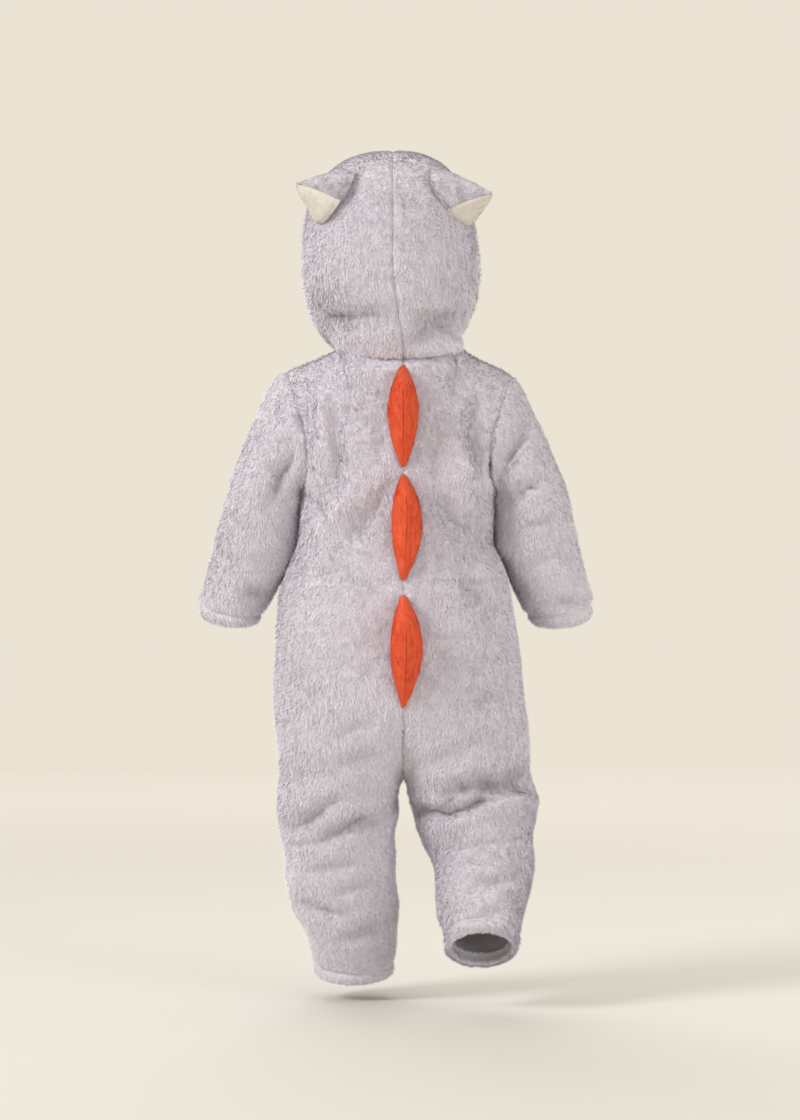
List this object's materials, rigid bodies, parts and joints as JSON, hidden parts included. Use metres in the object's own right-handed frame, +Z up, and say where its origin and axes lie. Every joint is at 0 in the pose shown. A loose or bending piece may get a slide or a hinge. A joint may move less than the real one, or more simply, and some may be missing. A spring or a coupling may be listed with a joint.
{
  "type": "monster costume",
  "caption": "Hooded one-piece plush monster suit with ears on the hood, stuffed fins down the back seam and a front zip, hollow and posed in mid-stride.",
  "frame": {"origin": "middle of the neck at the height of the neck seam, where the suit hangs from the wearer's shoulders", "axes": "+Z up; -Y the wearer's front; +X the wearer's left"},
  "size_m": [0.3819, 0.2008, 0.8019],
  "materials": {
    "plush": "short lavender-grey plush, soft and matt",
    "band": "paler plush, soft and matt",
    "cream": "smooth cream brushed knit",
    "orange": "orange brushed felt",
    "tape": "woven grey tape",
    "metal": "satin metal"
  },
  "bodies": {
    "suit": {"bodice_back_left": "plush", "hips_back_left": "plush", "leg_back_left": "plush", "bodice_front_left": "plush", "hips_front_left": "plush", "leg_front_left": "plush", "sleeve_left": "plush", "hood_left": "plush", "ear_left_upper": "plush", "ear_left_under": "cream", "zip_tape_left": "tape", "fin_upper_left": "orange", "fin_middle_left": "orange", "fin_lower_left": "orange", "bodice_back_right": "plush", "hips_back_right": "plush", "leg_back_right": "plush", "bodice_front_right": "plush", "hips_front_right": "plush", "leg_front_right": "plush", "sleeve_right": "plush", "hood_right": "plush", "ear_right_upper": "plush", "ear_right_under": "cream", "zip_tape_right": "tape", "fin_upper_right": "orange", "fin_middle_right": "orange", "fin_lower_right": "orange", "hood_band": "band", "zip_slider": "metal"},
    "pull": {"zip_pull": "metal"}
  },
  "joints": [
    {"name": "pull_hinge", "type": "hinge", "parent": "suit", "child": "pull", "pos_m": [0, -0.06093, -0.02566], "axis": [-1, 0, 0], "range_deg": [0, 150]}
  ]
}
